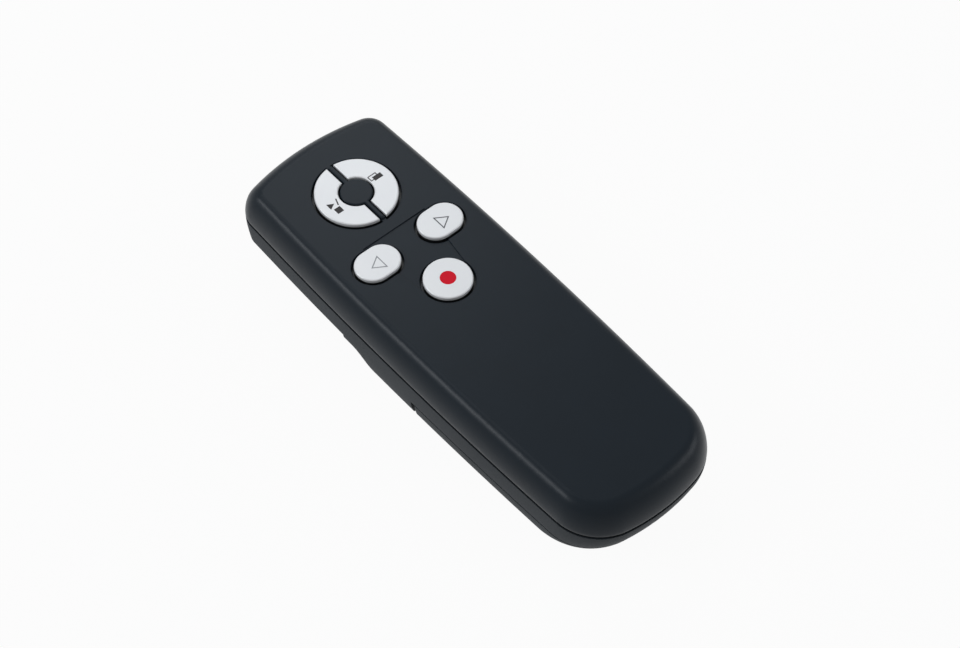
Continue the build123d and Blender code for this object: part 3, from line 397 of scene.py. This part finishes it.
def round_edges(test, width_mm, steps):
    """Bevel the edited mesh's sharp edges that pass a test."""
    pick("edges", lambda edge: test(edge) and sharp(edge))
    bpy.ops.mesh.bevel(offset=width_mm * MM, segments=steps, affect="EDGES")


def normals_outwards():
    """Turn all faces of the edited mesh outwards and leave them selected."""
    bpy.ops.mesh.select_all(action="SELECT")
    bpy.ops.mesh.normals_make_consistent(inside=False)


def finish(piece, material, body, slot=None, *replaced):
    """Close edit mode, shade the piece, and give it its material and body; the slot is not used.
    """
    bpy.ops.object.mode_set(mode="OBJECT")
    bpy.ops.object.shade_smooth_by_angle(angle=radians(SHADING_EDGE))
    flats = piece.vertex_groups.new(name="flats")
    large = [face for face in piece.data.polygons if face.area > FLAT_AREA * MM * MM]
    flats.add(sorted({corner for face in large for corner in face.vertices}), 1.0, "REPLACE")
    weights = piece.modifiers.new("flat_faces_stay_flat", "WEIGHTED_NORMAL")
    weights.vertex_group = flats.name
    weights.keep_sharp = True
    weights.weight = FACE_WEIGHT
    bpy.ops.object.modifier_apply(modifier=weights.name)
    piece.data.materials.clear()
    piece.data.materials.append(material)
    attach(piece, body)
    if replaced:
        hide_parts(*replaced)


# ---------------------------------------------------------------- top cover
CASE_SCREWS = [(x, y) for x in (-14.3, 14.3) for y in (31.0, -36.0)]
SCREW_ROOM = 3  # mm round a screw, where edges belong to its boss
OUTWARD = 2  # mm along the normal of a face, from where on it is an outside of the case
UPRIGHT = 0.5  # a face whose normal rises less than this is a wall
PANEL_SLACK = 0.05  # mm
DISC_EDGE = 0.3  # roundings, in mm
WINDOW_EDGE = 0.15
PANEL_EDGE = 0.05
SEAM_EDGE = 0.35


def at_level(edge, *levels):
    """Edge that lies at one of these heights."""
    return any(
        all(abs(vert.co.z - level * MM) < LEVEL_SLACK * MM for vert in edge.verts)
        for level in levels
    )


def distance(place, centre):
    """Distance of two places on a plane."""
    return hypot(place[0] - centre[0], place[1] - centre[1])


def of_panel(edge):
    """Edge of the low wall round the shallow panel."""
    return any(
        abs(face.normal.z) < UPRIGHT
        and min(vert.co.z for vert in face.verts) > (PANEL - PANEL_SLACK) * MM
        for face in edge.link_faces
    )


def of_outline(edge):
    """Edge where the outside meets the parting plane."""
    place = (edge.verts[0].co + edge.verts[1].co) / 2 / MM
    outward = any(
        face.normal.x * place.x + face.normal.y * place.y > OUTWARD for face in edge.link_faces
    )
    return outward and all(distance(place, screw) > SCREW_ROOM for screw in CASE_SCREWS)


key_face = moulded_copy("top_cover", "key_face_moulding")
round_edges(lambda edge: at_level(edge, DISC), DISC_EDGE, steps=4)
round_edges(
    lambda edge: at_level(edge, FACE, PANEL) and not of_panel(edge), WINDOW_EDGE, steps=3
)
round_edges(lambda edge: at_level(edge, FACE, PANEL), PANEL_EDGE, steps=2)
round_edges(lambda edge: at_level(edge, SEAM) and of_outline(edge), SEAM_EDGE, steps=4)
finish(key_face, top_plastic, "case", "top_plastic", "top_cover")


# ---------------------------------------------------------------- marks printed on the keys, in mm
INK = 0.02  # thickness
INK_SUNK = 0.005  # how far it bites into the key


def polygon(corners, centre, radius, turn, stretch=(1, 1, 1), outline=None, lean=0):
    """Flat mark on a key: a regular polygon, stretched, solid or reduced to an outline."""
    bpy.ops.mesh.select_all(action="DESELECT")
    place = (centre[0] * MM, centre[1] * MM, (KEY_TOP - INK_SUNK) * MM)
    bpy.ops.mesh.primitive_circle_add(
        vertices=corners,
        radius=radius * MM,
        fill_type="NGON",
        location=place,
        rotation=(0, 0, radians(turn)),
    )
    bpy.ops.transform.resize(value=stretch, center_override=place)
    bpy.ops.transform.rotate(value=radians(lean), orient_axis="Z", center_override=place)
    if outline:
        bpy.ops.mesh.select_mode(type="FACE")
        bpy.ops.mesh.inset(thickness=outline * MM)
        bpy.ops.mesh.delete(type="FACE")


def bar(left, right, rear, front):
    """Solid rectangular mark."""
    centre = ((left + right) / 2, (rear + front) / 2)
    polygon(4, centre, sqrt(0.5), 45, (right - left, front - rear, 1))


def print_marks(piece, ink, body):
    """Give the flat marks the thickness of ink."""
    normals_outwards()
    bpy.ops.mesh.extrude_region_move(TRANSFORM_OT_translate={"value": (0, 0, INK * MM)})
    normals_outwards()
    finish(piece, ink, body)


# hollow triangles on the oval keys, one pointing back and one on
for step, ink, x, turn, line in (
    ("previous", pale_ink, -8.2, 90, 0.22),
    ("next", grey_ink, 8.3, -90, 0.24),
):
    arrow = new_piece(f"{step}_arrow")
    polygon(3, (x, 19.15), 2.05, turn, (0.92, 1.03, 1), line)
    print_marks(arrow, ink, f"{step}_key")

# play triangle, stroke and stop square
start_stop_mark = new_piece("start_stop_mark")
polygon(3, (-6.4, 36.8), 0.95, -90)
polygon(4, (-4.7, 36.8), 1.2, 45, (0.16, 1.0, 1), lean=20)
polygon(4, (-5.7, 34.9), 1.05, 45)
print_marks(start_stop_mark, black_ink, "start_stop_key")

# a filled screen before the outline of another
blank_screen_mark = new_piece("blank_screen_mark")
for sides in (
    (4.69, 6.81, 35.98, 37.12),
    (3.94, 6.06, 37.56, 37.76),
    (3.94, 4.14, 36.34, 37.56),
    (4.14, 4.69, 36.34, 36.54),
    (5.86, 6.06, 37.12, 37.56),
):
    bar(*sides)
print_marks(blank_screen_mark, black_ink, "blank_screen_key")


# ---------------------------------------------------------------- cells
CELL_RADIUS = 5.25
CELL_SIDES = 64
FILM = 0.1  # thickness of the printed sleeve
FILM_LIP = 0.7  # how far it is rolled over the ends
FILM_EDGE = 0.4  # radius of its rolled edge
BAND_SHARE = 0.3  # of the length, coloured, at the positive end
NUB_LENGTH = 1.0
CAN_RINGS = ((0.75, -0.35), (1.1, 0.35), (1.3, NUB_LENGTH))  # inset, rise: crimp and nub
FOOT_RINGS = ((0.9, -0.15), (0.5, 0.15))
END_TILT = 0.9  # a face whose normal leans this far along the cell is its end
RIM_SLACK = 0.01  # mm


def rod(x, z, radius, start_y, end_y):
    """Cylinder along the case, added to the edited piece."""
    bpy.ops.mesh.select_all(action="DESELECT")
    bpy.ops.mesh.primitive_cylinder_add(
        vertices=CELL_SIDES,
        radius=radius * MM,
        depth=abs(end_y - start_y) * MM,
        location=(x * MM, (start_y + end_y) / 2 * MM, z * MM),
        rotation=(radians(90), 0, 0),
    )


def pick_end(way):
    """Select the edited rod's end face that looks along +Y or -Y."""
    pick("faces", lambda face: face.normal.y * way > END_TILT)


def inset_and_raise(width, height):
    """Inset the selected end face by a width and move it along Y by a height."""
    bpy.ops.mesh.inset(thickness=width * MM)
    bpy.ops.mesh.extrude_region_move(TRANSFORM_OT_translate={"value": (0, height * MM, 0)})


def raise_rings(way, rings):
    """Turn one end of a rod into rings, each inset by one width and raised by one height."""
    pick_end(way)
    for width, height in rings:
        inset_and_raise(width, way * height)


def film(name, x, z, end_y, seam_y, material, slot):
    """Printed sleeve from one end of a cell to where its colour changes."""

    def of_rim(edge):
        return all(
            abs(vert.co.y / MM - end_y) < RIM_SLACK
            and abs(distance((vert.co.x / MM, vert.co.z / MM), (x, z)) - CELL_RADIUS) < RIM_SLACK
            for vert in edge.verts
        )

    piece = new_piece(name)
    rod(x, z, CELL_RADIUS, end_y, seam_y)
    way = 1 if end_y > seam_y else -1
    pick_end(way)
    inset_and_raise(FILM_LIP, -way * FILM)
    bpy.ops.mesh.delete(type="FACE")
    round_edges(of_rim, FILM_EDGE, steps=4)
    finish(piece, material, "case", slot)


for cell, way in (("left_cell", 1), ("right_cell", -1)):
    low, high = [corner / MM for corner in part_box(cell)]
    x, z = (low.x + high.x) / 2, (low.z + high.z) / 2
    nub_y, foot_y = (high.y, low.y) if way > 0 else (low.y, high.y)
    shoulder_y = nub_y - way * NUB_LENGTH
    seam_y = shoulder_y + (foot_y - shoulder_y) * BAND_SHARE
    can = new_piece(f"{cell}_can")
    rod(x, z, CELL_RADIUS - FILM, shoulder_y - way * FILM, foot_y + way * FILM)
    raise_rings(way, CAN_RINGS)
    raise_rings(-way, FOOT_RINGS)
    normals_outwards()
    finish(can, steel, "case", "steel", cell)
    film(f"{cell}_sleeve", x, z, foot_y, seam_y, sleeve_print, "cell_sleeve")
    film(f"{cell}_band", x, z, shoulder_y, seam_y, band_print, None)


# ---------------------------------------------------------------- floor and surroundings
FLOOR_SIZE = 6  # m
FLOOR_LIFT = 0.95  # share of plain white in what the camera sees of the floor
ROOM_LIGHT = 0.3  # soft light from all round


def seen_directly(tree):
    """1 where the camera, a reflection or clear plastic looks at the studio, else 0."""
    path = node(tree, "ShaderNodeLightPath")
    seen = path.outputs["Is Camera Ray"]
    for ray in ("Is Glossy Ray", "Is Transmission Ray"):
        either = {0: seen, 1: path.outputs[ray]}
        seen = node(tree, "ShaderNodeMath", either, operation="MAXIMUM").outputs[0]
    return seen


bpy.ops.object.select_all(action="DESELECT")
bpy.ops.mesh.primitive_plane_add(size=FLOOR_SIZE, location=(0, 0, 0))
floor = bpy.context.object
floor.name = "studio_floor"
# matt white sweep: nearly plain white to the eye, keeping a faint shadow of the case
floor_material, tree, shader = new_material(
    "white_sweep", in_Base_Color=linear("#C4C4C4"), in_Roughness=0.9
)
white = node(tree, "ShaderNodeEmission", in_Strength=1.0)
lift = node(tree, "ShaderNodeMath", {0: seen_directly(tree)}, operation="MULTIPLY")
lift.inputs[1].default_value = FLOOR_LIFT
lifted = node(
    tree,
    "ShaderNodeMixShader",
    {0: lift.outputs[0], 1: shader.outputs["BSDF"], 2: white.outputs["Emission"]},
)
tree.links.new(lifted.outputs[0], tree.nodes["Material Output"].inputs["Surface"])
floor.data.materials.append(floor_material)

world = bpy.data.worlds.new("studio")
bpy.context.scene.world = world
world.use_nodes = True
tree = world.node_tree
room = tree.nodes["Background"]
room.inputs["Color"].default_value = linear("#FFFFFF")
room.inputs["Strength"].default_value = ROOM_LIGHT
backdrop = node(tree, "ShaderNodeBackground", in_Strength=1.0)
surroundings = node(
    tree,
    "ShaderNodeMixShader",
    {0: seen_directly(tree), 1: room.outputs[0], 2: backdrop.outputs[0]},
)
tree.links.new(surroundings.outputs[0], tree.nodes["World Output"].inputs["Surface"])
